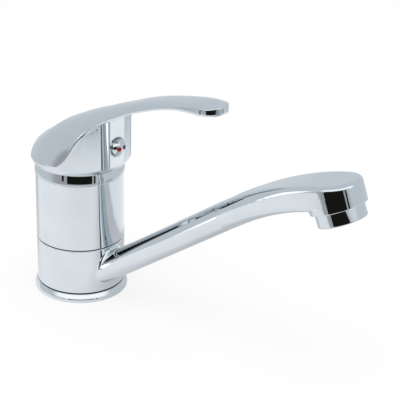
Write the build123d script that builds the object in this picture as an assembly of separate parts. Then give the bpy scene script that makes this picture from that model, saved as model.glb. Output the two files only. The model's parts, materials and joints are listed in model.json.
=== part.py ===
from build123d import *
import os
from math import cos, radians, sin, sqrt, tan

# Single-lever kitchen mixer tap. Millimetres, +Z up, +X towards the outlet.
# The origin is the middle of the base, on the counter.

# Column
BASE_OVER = 1.6
BASE_H = 4.5
BASE_SHOULDER = 2.4
BODY_R = 24.0
SEAM = 0.5
COLLAR_H = 25.3
BODY_H = 37.9
EDGE_BREAK = 0.3
CORE_R = 17.5
CORE_RECESS = 0.6
CORE_FIT = 0.05
GASKET_INSET = 2.4
GASKET_LAND = 2.05
GASKET_H = 1.6
GASKET_FIT = 0.05

# Collar bearings and seals
SLEEVE_WALL = 1.4
SLEEVE_H = 3.0
FLANGE_INSET = 0.8
BEARING_FIT = 0.05
O_RING_D = 2.6
O_RING_FIT = 0.02
O_RING_OFFSET = 7.0
O_RING_GROOVE_W = 3.2
CHAMBER_R = 20.0
CHAMBER_H = 8.4

# Water ways and fixings in the core
INLET_X = 4.6
INLET_Y = 6.8
INLET_THREAD_R = 4.5
INLET_THREAD_H = 12.0
INLET_WAY_R = 3.0
OUTLET_X = -8.6
OUTLET_WAY_R = 3.4
STUD_R = 3.4
STUD_H = 10.0

# Cartridge, from the seat upwards
SEAT_DEPTH = 32.7
CARTRIDGE_R = 19.9
CARTRIDGE_FIT = 0.2
SEAL_STANDOFF = 0.2
SEAL_R = 4.6
SEAL_WALL = 1.3
SEAL_H = 1.7
SEAL_FIT = 0.05
CARTRIDGE_BASE_H = 6.8
LOCATOR_R = 1.5
LOCATOR_H = 2.0
LOCATOR_Y = 15.0
LOCATOR_FIT = 0.1
DISC_H = 4.0
DISC_FILM = 0.05
FIXED_DISC_R = 16.3
FIXED_DISC_FIT = 0.3
MOVING_DISC_R = 14.0
MIX_POCKET_REAR = 9.6
MIX_POCKET_FRONT = 2.6
MIX_POCKET_W = 16.0
MIX_POCKET_H = 2.0
DRIVER_R = 12.6
DRIVER_H = 4.4
DRIVER_BOSS_R = 5.2
DRIVER_GAP = 0.4
HOUSING_NECK_R = 16.9
HOUSING_SHOULDER_H = 19.6
HOUSING_H = 30.0
ROTOR_FLANGE_R = 15.2
ROTOR_FLANGE_H = 4.6
ROTOR_R = 11.0
ROTOR_PROUD = 2.0
ROTOR_FIT = 0.1
ROTOR_FLANGE_FIT = 0.2
NUT_R = 20.9
NUT_NECK_R = 19.0
NUT_NECK_H = 3.8
NUT_FIT = 0.05
NUT_SLOT_W = 4.0
NUT_SLOT_H = 2.2
NUT_RUNOUT = 0.5

# Lever mechanism. The pin lies level with the top of the body.
LIFT_MAX = 22.0
STEM_LEAN = LIFT_MAX / 2
STEM_X = 7.0
STEM_Y = 8.0
STEM_TOP = 26.0
STEM_TAIL = 5.0
STEM_FIT = 0.15
BALL_ARM = 8.5
BALL_R = 3.0
BALL_FIT = 0.25
BALL_NECK_R = 2.2
PIN_R = 1.75
PIN_END_GAP = 0.6
PIN_FIT = 0.03

# Cap ring and lever share one sphere about the pin
CAP_OVER = 0.35
CAP_WALL = 1.3
CAP_LIP = 2.95
CAP_SKIRT_GAP = 0.35

# Lever
RIM_ABOVE_BODY = 5.9
RIM_WALL = 0.1
HANDLE_WALL = 2.1
HANDLE_X = 0.9
RIM_TAPER_H = 3.2
PANEL_INSET = 0.7
PANEL_ROUND = 2.5
HOOD_OVER = 0.3
HOOD_REAR_H = 18.5
HOOD_EDGE_H = 1.0
HOOD_FULLNESS = 0.71
ARM_EDGE = 1.6
TIP_REACH = 74.4
TIP_R = 8.5
TIP_DROP = 2.8
TIP_SPARE = 2.0
SOCKET_FIT = 0.1
SOCKET_BOSS_H = 13.3
SOCKET_BOSS_REAR = 4.5
SOCKET_BOSS_W = 14.0
SOCKET_BOSS_ROOT = 1.0
SCREW_R = 2.5
SCREW_L = 8.0
SCREW_FIT = 0.05
SCREW_POINT = 1.0
SCREW_RELIEF = 1.0
HEX_ACROSS = 2.5
HEX_H = 3.0
INDEX_H = 14.1
INDEX_R = 4.9
INDEX_SIDE = 1.0
INDEX_DOME = 3.0
INDEX_SEAT_H = 1.6
INDEX_FIT = 0.05
INDEX_PLUG_R = 3.0
INDEX_PLUG_L = 3.0
MARK_R = 1.15
MARK_H = 0.6
MARK_OFFSET = 2.1

# Spout: a straight rise, a gentle bend, then a tilted head
RISE = 35.6
ROOT_Z = 18.0
STRAIGHT_END_X = 100.0
HEAD_TILT = 24.1
TOP_TILT = 14.0
HEAD_X = 166.4
HEAD_Z = 90.4
HEAD_R = 13.9
HEAD_TOP = 20.15
HEAD_COVE = 3.2
HEAD_COVE_STEPS = 4
TUBE_W = 16.3
TUBE_H = 14.6
TUBE_WALL = 2.4
NECK_H = 12.1
NECK_ROUND = 2.2
TUBE_ROUND = 0.49
ROOT_L = 14.0
ROOT_FLARE = 1.65
ROOT_LIFT = 0.25
ROOT_STEPS = 6
ROOT_FILLET = 1.6

# Aerator, in the frame of the head
AERATOR_R = 12.0
AERATOR_H = 6.8
AERATOR_THREAD_R = 10.9
AERATOR_THREAD_H = 4.6
AERATOR_FIT = 0.1
AERATOR_BORE_R = 9.6
AERATOR_LIP_R = 8.8
AERATOR_LIP_H = 1.0
WASHER_H = 1.4
WASHER_HOLE_R = 7.6
INSERT_FIT = 0.1
INSERT_H = 5.0
INSERT_WALL = 1.4
JET_CIRCLE_R = 6.0
JET_COUNT = 10
JET_R = 1.0
GRID_H = 2.0
GRID_PITCH = 3.4
GRID_HOLE = 2.8
SCREEN_H = 0.5
SCREEN_HOLE_R = 0.9
SCREEN_RINGS = 3

# Levels and sizes that follow from the values above
BASE_R = BODY_R + BASE_OVER
GASKET_R = BASE_R - GASKET_INSET
GASKET_BORE_R = CORE_R + CORE_FIT + GASKET_LAND
COLLAR_Z = BASE_H + SEAM
COLLAR_TOP = COLLAR_Z + COLLAR_H
BODY_Z = COLLAR_TOP + SEAM
BODY_TOP = BODY_Z + BODY_H
PIVOT_Z = BODY_TOP
SLEEVE_R = CORE_R + CORE_FIT + SLEEVE_WALL
COLLAR_BORE_R = CORE_R + 4 * CORE_FIT
O_RING_FLOOR_R = COLLAR_BORE_R - BEARING_FIT - O_RING_D - O_RING_FIT
COLLAR_MID = (COLLAR_Z + COLLAR_TOP) / 2
SEAT_Z = BODY_TOP - SEAT_DEPTH
BORE_R = CARTRIDGE_R + CARTRIDGE_FIT
CARTRIDGE_Z = SEAT_Z + SEAL_STANDOFF
FIXED_DISC_Z = CARTRIDGE_Z + CARTRIDGE_BASE_H
MOVING_DISC_Z = FIXED_DISC_Z + DISC_H + DISC_FILM
DRIVER_Z = MOVING_DISC_Z + DISC_H
HOUSING_Z = FIXED_DISC_Z
HOUSING_SHOULDER_Z = HOUSING_Z + HOUSING_SHOULDER_H
HOUSING_TOP = HOUSING_Z + HOUSING_H
ROTOR_Z = DRIVER_Z + DRIVER_H + DRIVER_GAP
ROTOR_SHOULDER_Z = ROTOR_Z + ROTOR_FLANGE_H
ROTOR_TOP = HOUSING_TOP + ROTOR_PROUD
BALL_X = -BALL_ARM * sin(radians(STEM_LEAN))
BALL_Z = PIVOT_Z - BALL_ARM * cos(radians(STEM_LEAN))
NUT_BORE_R = NUT_R + NUT_FIT
RIM_Z = BODY_TOP + RIM_ABOVE_BODY
CAP_R = BODY_R + CAP_OVER
CAP_OPENING_R = CAP_R - CAP_LIP
SKIRT_R = CAP_R + CAP_SKIRT_GAP
RIM_R = SKIRT_R + RIM_WALL
HANDLE_R = SKIRT_R + HANDLE_WALL
HOOD_R = HANDLE_R + HOOD_OVER
PANEL_X = HANDLE_X + HANDLE_R - PANEL_INSET
INDEX_Z = RIM_Z + INDEX_H
HOOD_END_TURN = 141
NECK_X = HANDLE_X - HOOD_R * cos(radians(HOOD_END_TURN))
NECK_HALF = HOOD_R * sin(radians(HOOD_END_TURN))
TIP_X = NECK_X + TIP_REACH
WALL_TOP = NECK_H / 2 - NECK_ROUND

# Slices across the hood: turn from its rear, edge and crown heights above the rim, fullness
HOOD_SLICES = (
    (73, HOOD_EDGE_H, 21.8, HOOD_FULLNESS),
    (92, HOOD_EDGE_H, 26.6, HOOD_FULLNESS),
    (105, 4.4, 29.6, 0.70),
    (116.5, 10.0, 31.9, 0.68),
    (128, 19.9, 33.8, 0.62),
    (HOOD_END_TURN, 26.7, 35.6, 0.56),
)
# Slices across the arm: distance from the hood, half width, then as above
ARM_SLICES = (
    (6.0, 0.86 * NECK_HALF, 31.9, 38.2, 0.58),
    (14.0, 13.3, 36.6, 41.3, 0.64),
    (24.0, 12.0, 41.7, 45.1, 0.69),
    (36.0, 11.0, 46.4, 48.7, 0.71),
    (50.0, 10.1, 50.3, 51.7, 0.71),
    (64.0, 8.9, 52.7, 53.6, 0.71),
    (TIP_REACH + TIP_SPARE, 7.8, 53.9, 54.5, 0.71),
)


def turned(*corners):
    """Solid turned about Z from (radius, height) corners."""
    return revolve(make_face(Plane.XZ * Polyline(*corners, close=True)), Axis.Z)


def drum(radius, low, high, x=0.0, y=0.0):
    """Upright cylinder between two heights."""
    base = (Align.CENTER, Align.CENTER, Align.MIN)
    return Pos(x, y, low) * Cylinder(radius, high - low, align=base)


def ring(inner, outer, low, high):
    """Flat ring between two heights."""
    return turned((inner, low), (outer, low), (outer, high), (inner, high))


def ports():
    """Centres of the hot inlet, the cold inlet and the outlet way."""
    return (INLET_X, -INLET_Y), (INLET_X, INLET_Y), (OUTLET_X, 0.0)


def base_ring():
    """Polished foot with a rounded shoulder and a gasket groove underneath."""
    foot = ring(CORE_R + CORE_FIT, BASE_R, 0, BASE_H)
    rim = foot.edges().filter_by(GeomType.CIRCLE).group_by(Axis.Z)[-1].sort_by(SortBy.RADIUS)[-1]
    foot = fillet(rim, BASE_SHOULDER)
    return foot - ring(GASKET_BORE_R - GASKET_FIT, GASKET_R + GASKET_FIT, 0, GASKET_H + GASKET_FIT)


def base_gasket():
    """Rubber ring in the groove, flush with the counter."""
    return ring(GASKET_BORE_R, GASKET_R, 0, GASKET_H)


def valve_body():
    """Upper cylinder with the cartridge bore, and the core below it."""
    wall = turned(
        (0, CORE_RECESS),
        (CORE_R, CORE_RECESS),
        (CORE_R, BODY_Z),
        (BODY_R - EDGE_BREAK, BODY_Z),
        (BODY_R, BODY_Z + EDGE_BREAK),
        (BODY_R, BODY_TOP - EDGE_BREAK),
        (BODY_R - EDGE_BREAK, BODY_TOP),
        (NUT_BORE_R, BODY_TOP),
        (NUT_BORE_R, HOUSING_SHOULDER_Z - NUT_RUNOUT),
        (BORE_R, HOUSING_SHOULDER_Z - NUT_RUNOUT),
        (BORE_R, SEAT_Z),
        (0, SEAT_Z),
    )
    half = O_RING_GROOVE_W / 2
    for z in (COLLAR_MID - O_RING_OFFSET, COLLAR_MID + O_RING_OFFSET):
        wall -= ring(O_RING_FLOOR_R, CORE_R + 1, z - half, z + half)
    for x, y in ports()[:2]:
        wall -= drum(INLET_THREAD_R, CORE_RECESS, CORE_RECESS + INLET_THREAD_H, x, y)
        wall -= drum(INLET_WAY_R, CORE_RECESS, SEAT_Z, x, y)
    wall -= drum(STUD_R, CORE_RECESS, CORE_RECESS + STUD_H, OUTLET_X, 0)
    wall -= drum(OUTLET_WAY_R, COLLAR_MID - OUTLET_WAY_R, SEAT_Z, OUTLET_X, 0)
    side_way = Pos(OUTLET_X, 0, COLLAR_MID) * Rot(0, -90, 0)
    wall -= side_way * drum(OUTLET_WAY_R, 0, CORE_R)
    for y in (-LOCATOR_Y, LOCATOR_Y):
        wall -= drum(LOCATOR_R + LOCATOR_FIT, SEAT_Z - LOCATOR_H, SEAT_Z, 0, y)
    return wall


def slip_ring(low):
    """Flanged plastic bearing at one end of the collar."""
    inner = CORE_R + CORE_FIT
    flange_h = SEAM - BEARING_FIT
    flange_r = BODY_R - FLANGE_INSET
    bearing = ring(inner, flange_r, 0, flange_h) + ring(inner, SLEEVE_R, 0, flange_h + SLEEVE_H)
    if low:
        return Pos(0, 0, BASE_H) * bearing
    return Pos(0, 0, BODY_Z) * Rot(180, 0, 0) * bearing


def o_ring(z):
    """Seal between the core and the collar."""
    return Pos(0, 0, z) * Torus(O_RING_FLOOR_R + O_RING_FIT + O_RING_D / 2, O_RING_D / 2)


def port_seals():
    """Three rubber rings under the cartridge base."""
    seal = ring(SEAL_R - SEAL_WALL, SEAL_R, 0, SEAL_H)
    return Compound(children=[Pos(x, y, SEAT_Z) * seal for x, y in ports()])


def cartridge_base():
    """Foot of the cartridge with three ports and two locating pins."""
    foot = drum(CARTRIDGE_R, CARTRIDGE_Z, FIXED_DISC_Z)
    for x, y in ports():
        foot -= drum(SEAL_R - SEAL_WALL, CARTRIDGE_Z, FIXED_DISC_Z, x, y)
        foot -= drum(SEAL_R + SEAL_FIT, CARTRIDGE_Z, SEAT_Z + SEAL_H + SEAL_FIT, x, y)
    for y in (-LOCATOR_Y, LOCATOR_Y):
        foot += drum(LOCATOR_R, SEAT_Z - LOCATOR_H + LOCATOR_FIT, CARTRIDGE_Z, 0, y)
    return foot


def fixed_disc():
    """Ceramic disc with the three ports."""
    disc = drum(FIXED_DISC_R, FIXED_DISC_Z, FIXED_DISC_Z + DISC_H)
    for x, y in ports():
        disc -= drum(INLET_WAY_R, FIXED_DISC_Z, FIXED_DISC_Z + DISC_H, x, y)
    return disc


def moving_disc():
    """Ceramic disc with a mixing pocket underneath, drawn back when the tap is shut."""
    disc = drum(MOVING_DISC_R, 0, DISC_H)
    length = MIX_POCKET_REAR + MIX_POCKET_FRONT
    middle = (MIX_POCKET_FRONT - MIX_POCKET_REAR) / 2
    pocket = Pos(middle, 0, 0) * RectangleRounded(length, MIX_POCKET_W, length / 4)
    disc -= extrude(pocket, MIX_POCKET_H)
    return Pos(BALL_X, 0, MOVING_DISC_Z) * disc


def disc_driver():
    """Plate on the moving disc, with the socket for the ball of the stem."""
    plate = drum(DRIVER_R, 0, DRIVER_H)
    boss_h = BALL_Z + BALL_R / 2 - DRIVER_Z
    plate += drum(DRIVER_BOSS_R, 0, boss_h)
    plate -= drum(BALL_R + BALL_FIT, BALL_Z - BALL_R - BALL_FIT - DRIVER_Z, boss_h)
    return Pos(BALL_X, 0, DRIVER_Z) * plate


def cartridge_housing():
    """Cup round the discs, with a neck that guides the rotor."""
    chamber_r = FIXED_DISC_R + FIXED_DISC_FIT
    chamber_top = ROTOR_SHOULDER_Z + ROTOR_FLANGE_FIT
    return turned(
        (chamber_r, HOUSING_Z),
        (CARTRIDGE_R, HOUSING_Z),
        (CARTRIDGE_R, HOUSING_SHOULDER_Z),
        (HOUSING_NECK_R, HOUSING_SHOULDER_Z),
        (HOUSING_NECK_R, HOUSING_TOP),
        (ROTOR_R + ROTOR_FIT, HOUSING_TOP),
        (ROTOR_R + ROTOR_FIT, chamber_top),
        (chamber_r, chamber_top),
    )


def rotor():
    """Turning piece with a slot for the stem and a cross hole for the pin."""
    turret = drum(ROTOR_FLANGE_R, ROTOR_Z, ROTOR_SHOULDER_Z)
    turret += drum(ROTOR_R, ROTOR_Z, ROTOR_TOP)
    lean = tan(radians(STEM_LEAN))
    half_x = (ROTOR_TOP - PIVOT_Z) * lean + STEM_X / 2 / cos(radians(STEM_LEAN)) + 2 * STEM_FIT
    slot_w = STEM_Y + 2 * STEM_FIT
    middle_z = (ROTOR_Z + ROTOR_TOP) / 2
    turret -= Pos(0, 0, middle_z) * Box(2 * half_x, slot_w, ROTOR_TOP - ROTOR_Z)
    well_r = DRIVER_BOSS_R + DRIVER_GAP
    well_top = BALL_Z + BALL_R / 2 + DRIVER_GAP
    well = SlotCenterToCenter(-2 * BALL_X, 2 * well_r)
    turret -= Pos(0, 0, ROTOR_Z) * extrude(well, well_top - ROTOR_Z)
    return turret - cross_pin(PIN_R + PIN_FIT, 2 * ROTOR_R)


def cross_pin(radius, length):
    """Cylinder along the tilting axis of the lever."""
    return Pos(0, 0, PIVOT_Z) * Rot(90, 0, 0) * Cylinder(radius, length)


def pivot_pin():
    """Steel pin that the stem tilts on."""
    return cross_pin(PIN_R, 2 * (ROTOR_R - PIN_END_GAP))


def stem():
    """Square stem leaning forward at rest, with a ball at its lower end."""
    length = STEM_TOP + STEM_TAIL
    blade = Pos(0, 0, (STEM_TOP - STEM_TAIL) / 2) * Box(STEM_X, STEM_Y, length)
    blade = chamfer(blade.faces().sort_by(Axis.Z)[-1].edges(), STEM_X / 10)
    blade += drum(BALL_NECK_R, -BALL_ARM, -STEM_TAIL)
    blade += Pos(0, 0, -BALL_ARM) * Sphere(BALL_R)
    blade = Pos(0, 0, PIVOT_Z) * Rot(0, STEM_LEAN, 0) * blade
    return blade - cross_pin(PIN_R + PIN_FIT, 2 * STEM_Y)


def cartridge_nut():
    """Threaded ring that holds the cartridge down, slotted for its key."""
    nut = turned(
        (HOUSING_NECK_R + NUT_FIT, HOUSING_SHOULDER_Z),
        (NUT_R, HOUSING_SHOULDER_Z),
        (NUT_R, BODY_TOP),
        (NUT_NECK_R, BODY_TOP),
        (NUT_NECK_R, BODY_TOP + NUT_NECK_H),
        (HOUSING_NECK_R + NUT_FIT, BODY_TOP + NUT_NECK_H),
    )
    top = BODY_TOP + NUT_NECK_H - NUT_SLOT_H / 2
    for angle in (45, 135):
        nut -= Pos(0, 0, top) * Rot(0, 0, angle) * Box(3 * NUT_R, NUT_SLOT_W, NUT_SLOT_H)
    return nut


def cap_ring():
    """Ball-shaped trim ring that the lever skirt slides over."""
    middle = Pos(0, 0, PIVOT_Z)
    opening_h = sqrt(CAP_R**2 - CAP_OPENING_R**2)
    cap = middle * Sphere(CAP_R) & drum(2 * CAP_R, BODY_TOP, PIVOT_Z + opening_h)
    cap -= middle * Sphere(CAP_R - CAP_WALL)
    thread_h = NUT_NECK_H - NUT_SLOT_H
    web_r = sqrt((CAP_R - CAP_WALL / 2) ** 2 - thread_h**2)
    return cap + ring(NUT_NECK_R + NUT_FIT, web_r, BODY_TOP, BODY_TOP + thread_h)


def cover_section(x, half_width, edge_h, crown_h, fullness):
    """Upright slice through the lever: flat foot, straight sides, crowned top."""
    edge_z = RIM_Z + edge_h
    crown_z = RIM_Z + crown_h
    foot_z = RIM_Z - RIM_TAPER_H
    shoulder_z = edge_z + fullness * (crown_z - edge_z)
    shoulder_y = 0.7 * half_width
    crown = Spline(
        (half_width, edge_z),
        (shoulder_y, shoulder_z),
        (0, crown_z),
        (-shoulder_y, shoulder_z),
        (-half_width, edge_z),
    )
    sides = Polyline(
        (-half_width, edge_z),
        (-half_width, foot_z),
        (half_width, foot_z),
        (half_width, edge_z),
    )
    return Plane.YZ.offset(x) * make_face(crown + sides)


def hood_place(turn):
    """Distance and half width of a slice across the round hood."""
    angle = radians(turn)
    return HANDLE_X - HOOD_R * cos(angle), HOOD_R * sin(angle)


def lever_cover():
    """Everything under the smooth top of the lever, from the rear dome to the tip."""
    slices = []
    for turn in (8, 20, 35, 55):
        crown_h = HOOD_EDGE_H + HOOD_REAR_H * sin(radians(turn))
        slices.append(cover_section(*hood_place(turn), HOOD_EDGE_H, crown_h, HOOD_FULLNESS))
    for turn, *shape in HOOD_SLICES:
        slices.append(cover_section(*hood_place(turn), *shape))
    for reach, *shape in ARM_SLICES:
        slices.append(cover_section(NECK_X + reach, *shape))
    return loft(slices)


def arm_underside():
    """Side view of the space below the hood edge and the underside of the arm."""
    edge = [(hood_place(turn)[0], edge_h) for turn, edge_h, _, _ in HOOD_SLICES[2:]]
    edge += [(NECK_X + reach, edge_h) for reach, _, edge_h, _, _ in ARM_SLICES[:-2]]
    under = []
    for x, edge_h in edge:
        thick = ARM_EDGE * min(1, (x - edge[0][0]) / HANDLE_R)
        under.append((x, RIM_Z + edge_h - thick))
    tip_z = RIM_Z + ARM_SLICES[-1][2] - ARM_EDGE - TIP_DROP
    curve = Spline(*under, (TIP_X - TIP_R / 2, tip_z), (TIP_X + TIP_R, tip_z + TIP_DROP))
    start = curve @ 0
    end = curve @ 1
    low = RIM_Z - 2 * RIM_TAPER_H
    rear = -2 * HANDLE_R
    rest = Polyline(end, (end.X, low), (rear, low), (rear, start.Y), start)
    return make_face(curve + rest)


def lever_post():
    """Round foot of the lever with its tapered rim and flat front panel."""
    wide = Pos(HANDLE_X, 0, RIM_Z + RIM_TAPER_H) * Circle(HANDLE_R)
    post = loft([Pos(0, 0, RIM_Z) * Circle(RIM_R), wide], ruled=True) + extrude(wide, PIVOT_Z)
    side = 4 * HANDLE_R
    post &= Pos(PANEL_X - side / 2, 0, PIVOT_Z) * Box(side, side, side)
    corners = post.edges().filter_by(Axis.Z).filter_by_position(Axis.X, PANEL_X - SEAM, PANEL_X + SEAM)
    return fillet(corners, PANEL_ROUND)


def along_panel(shape):
    """Place a shape drawn along Z so that it points out of the front panel."""
    return Pos(PANEL_X, 0, INDEX_Z) * Rot(0, 90, 0) * shape


def screw_tip():
    """Distance from the axis to the point of the grub screw."""
    lean = radians(STEM_LEAN)
    face = (INDEX_Z - PIVOT_Z) * tan(lean) + STEM_X / 2 / cos(lean)
    return face + SCREW_R * tan(lean) + SCREW_FIT


def lever_handle():
    """Hollow cast lever: dome, front panel and strap-like arm."""
    cover = lever_cover()
    side = 4 * HANDLE_R
    tongue = Pos(TIP_X - TIP_R, 0, 0) * Circle(TIP_R)
    tongue += Pos(TIP_X - TIP_R - side, 0, 0) * Rectangle(2 * side, side)
    arm = cover - extrude(Plane.XZ * arm_underside(), side, both=True)
    arm &= extrude(tongue, 2 * side)
    handle = arm + (cover & lever_post())
    middle = Pos(0, 0, PIVOT_Z)
    handle -= middle * Sphere(SKIRT_R)
    boss_x = PANEL_X + SOCKET_BOSS_REAR
    boss = Box(boss_x, SOCKET_BOSS_W, SKIRT_R, align=(Align.MIN, Align.CENTER, Align.MIN))
    boss = Pos(-SOCKET_BOSS_REAR, 0, PIVOT_Z + SOCKET_BOSS_H) * boss
    handle += boss & middle * Sphere(SKIRT_R + SOCKET_BOSS_ROOT)
    socket = Box(STEM_X + 2 * SOCKET_FIT, STEM_Y + 2 * SOCKET_FIT, 2 * STEM_TOP + 2 * SOCKET_FIT)
    handle -= middle * Rot(0, STEM_LEAN, 0) * socket
    handle -= along_panel(drum(SCREW_R + SCREW_FIT, screw_tip() - PANEL_X - SCREW_RELIEF, 0))
    handle -= along_panel(drum(INDEX_PLUG_R + INDEX_FIT, -INDEX_SEAT_H - INDEX_PLUG_L - INDEX_FIT, 0))
    return handle - along_panel(drum(INDEX_R + INDEX_FIT, -INDEX_SEAT_H, INDEX_DOME))


def set_screw():
    """Grub screw that clamps the lever on the stem."""
    point = (SCREW_R - SCREW_POINT, 0), (SCREW_R, SCREW_POINT)
    screw = turned((0, 0), *point, (SCREW_R, SCREW_L), (0, SCREW_L))
    key = RegularPolygon(HEX_ACROSS / sqrt(3), 6)
    screw -= Pos(0, 0, SCREW_L - HEX_H) * extrude(key, HEX_H)
    return along_panel(Pos(0, 0, screw_tip() - PANEL_X) * screw)


def index_ball(inset=0.0):
    """Sphere whose cap is the dome of the index, less an inset."""
    radius = (INDEX_R**2 + INDEX_DOME**2) / (2 * INDEX_DOME)
    return Pos(0, 0, INDEX_SIDE + INDEX_DOME - radius) * Sphere(radius - inset)


def mark_pin(side, fit=0.0):
    """Round plug through the dome of the index, on the hot (-1) or cold (1) side."""
    top = INDEX_SIDE + 2 * INDEX_DOME
    return drum(MARK_R + fit, 0, top, 0, side * MARK_OFFSET) - index_ball(MARK_H + fit)


def index_mark(side):
    """Coloured inlay flush with the dome of the index."""
    return along_panel(mark_pin(side) & index_ball())


def index_cap():
    """Domed plug in the front panel, over the grub screw."""
    cap = drum(INDEX_R, 0, INDEX_SIDE + INDEX_DOME) & index_ball()
    cap += drum(INDEX_R, -INDEX_SEAT_H, INDEX_SIDE)
    cap += drum(INDEX_PLUG_R, -INDEX_SEAT_H - INDEX_PLUG_L, -INDEX_SEAT_H)
    for side in (-1, 1):
        cap -= mark_pin(side, INDEX_FIT)
    return along_panel(cap)


def spout_axis():
    """Straight rise and bend of the spout, as two edges in the XZ plane."""
    rise = (cos(radians(RISE)), 0, sin(radians(RISE)))
    inside = (BODY_R - ROOT_L * rise[0], 0, ROOT_Z - ROOT_L * rise[2])
    bend = (STRAIGHT_END_X, 0, ROOT_Z + (STRAIGHT_END_X - BODY_R) * tan(radians(RISE)))
    tilt = radians(HEAD_TILT)
    level = HEAD_TOP - NECK_H / 2
    end = (HEAD_X - level * sin(tilt), 0, HEAD_Z + level * cos(tilt))
    flow = (cos(radians(TOP_TILT)), 0, sin(radians(TOP_TILT)))
    return Line(inside, bend), Spline(bend, end, tangents=(rise, flow))


def spout_slice(edge, place, inset, head=0.0):
    """Slice across the spout, from round at the tube to broad and flat at the head."""
    blend = head**2 * (3 - 2 * head)
    width = TUBE_W + (2 * HEAD_R - TUBE_W) * head * (2 - head) - 2 * inset
    height = TUBE_H + (NECK_H - TUBE_H) * blend - 2 * inset
    round_h = TUBE_ROUND * TUBE_H
    corner = round_h + (NECK_ROUND - round_h) * blend
    frame = Plane(edge @ place, x_dir=(0, 1, 0), z_dir=edge % place)
    return frame * RectangleRounded(width, height, min(corner, TUBE_ROUND * height))


def spout_root():
    """Root of the spout, which widens towards the collar while its underside lifts."""
    straight = spout_axis()[0]
    slices = []
    for step in range(ROOT_STEPS + 1):
        place = step / ROOT_STEPS
        flare = (2 - 2 * place) ** 2
        width = TUBE_W + 2 * ROOT_FLARE * flare
        height = TUBE_H - 2 * ROOT_LIFT * flare
        section = Pos(0, ROOT_LIFT * flare) * RectangleRounded(width, height, TUBE_ROUND * height)
        middle = straight @ (2 * ROOT_L * place / straight.length)
        slices.append(Plane(middle, x_dir=(0, 1, 0), z_dir=straight % 0) * section)
    return loft(slices)


def spout_tube(start=0.0, inset=0.0):
    """Skin of the spout from a distance along its rise to the head, or its bore with an inset."""
    straight, bend = spout_axis()
    tube = extrude(spout_slice(straight, start / straight.length, inset), straight.length - start)
    places = [step / 6 for step in range(6, -1, -1)]
    return tube + loft([spout_slice(bend, place, inset, place) for place in places])


def spout_nose():
    """Rounded top of the head: the crown of the last slice turned about its own axis."""
    bend = spout_axis()[1]
    tilt = radians(TOP_TILT)
    frame = Plane(bend @ 1, x_dir=(0, 1, 0), z_dir=bend % 1)
    crown = frame * (Pos(HEAD_R, WALL_TOP + NECK_H) * Rectangle(2 * HEAD_R, 2 * NECK_H))
    crown &= spout_slice(bend, 1, 0, 1)
    return revolve(crown, Axis(bend @ 1, (sin(tilt), 0, -cos(tilt))), 180)


def head_drum():
    """Round wall of the head, leaning from its top to the aerator, coved at the back into the neck."""
    slices = []
    for step in range(HEAD_COVE_STEPS + 1):
        rise = HEAD_COVE * step / HEAD_COVE_STEPS
        back = HEAD_COVE - sqrt(HEAD_COVE**2 - rise**2) + EDGE_BREAK / 10
        slices.append(Pos(-back / 2, 0, AERATOR_H + rise) * SlotCenterToCenter(back, 2 * HEAD_R))
    top = Pos(spout_axis()[1] @ 1) * Rot(0, -TOP_TILT, 0) * Pos(0, 0, WALL_TOP) * Circle(HEAD_R)
    wall = loft([in_head(Pos(0, 0, AERATOR_H) * Circle(HEAD_R)), top], ruled=True)
    return in_head(loft(slices)) + wall


def in_head(shape):
    """Place a shape drawn about Z on the tilted axis of the head."""
    return Pos(HEAD_X, 0, HEAD_Z) * Rot(0, -HEAD_TILT, 0) * shape


def collar_space():
    """Bore of the collar: counterbores for the slip rings and a water chamber."""
    bearing_r = SLEEVE_R + BEARING_FIT
    space = drum(COLLAR_BORE_R, COLLAR_Z - 1, COLLAR_TOP + 1)
    space += drum(CHAMBER_R, COLLAR_MID - CHAMBER_H / 2, COLLAR_MID + CHAMBER_H / 2)
    depth = SLEEVE_H + BEARING_FIT
    space += drum(bearing_r, COLLAR_Z - 1, COLLAR_Z + depth)
    return space + drum(bearing_r, COLLAR_TOP - depth, COLLAR_TOP + 1)


def root_edges(casting):
    """Edges where the spout leaves the wall of the collar."""
    found = []
    for edge in casting.edges().filter_by(GeomType.LINE, reverse=True):
        middle = edge @ 0.5
        on_wall = abs(sqrt(middle.X**2 + middle.Y**2) - BODY_R) < EDGE_BREAK / 10
        if on_wall and middle.X > 0:
            found.append(edge)
    return found


def spout():
    """Swivelling collar, hollow spout and head, cast in one piece."""
    half = BODY_R - EDGE_BREAK
    collar = turned(
        (0, COLLAR_Z),
        (half, COLLAR_Z),
        (BODY_R, COLLAR_Z + EDGE_BREAK),
        (BODY_R, COLLAR_TOP - EDGE_BREAK),
        (half, COLLAR_TOP),
        (0, COLLAR_TOP),
    )
    casting = collar + spout_root() + spout_tube(2 * ROOT_L)
    casting = fillet(root_edges(casting), ROOT_FILLET)
    casting += spout_nose()
    casting += head_drum()
    casting -= collar_space()
    casting -= spout_tube(inset=TUBE_WALL)
    mouth = AERATOR_H + AERATOR_THREAD_H + WASHER_H
    casting -= in_head(drum(AERATOR_THREAD_R + AERATOR_FIT, AERATOR_H, mouth))
    return casting - in_head(drum(WASHER_HOLE_R, AERATOR_H, mouth + TUBE_WALL))


def aerator_housing():
    """Screwed ring with the lip that holds the insert."""
    return in_head(turned(
        (AERATOR_LIP_R, 0),
        (AERATOR_R - EDGE_BREAK, 0),
        (AERATOR_R, EDGE_BREAK),
        (AERATOR_R, AERATOR_H),
        (AERATOR_THREAD_R, AERATOR_H),
        (AERATOR_THREAD_R, AERATOR_H + AERATOR_THREAD_H),
        (AERATOR_BORE_R, AERATOR_H + AERATOR_THREAD_H),
        (AERATOR_BORE_R, AERATOR_LIP_H),
        (AERATOR_LIP_R, AERATOR_LIP_H),
    ))


def aerator_washer():
    """Rubber washer between the aerator and the head."""
    low = AERATOR_H + AERATOR_THREAD_H
    return in_head(ring(WASHER_HOLE_R, AERATOR_THREAD_R, low, low + WASHER_H))


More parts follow.
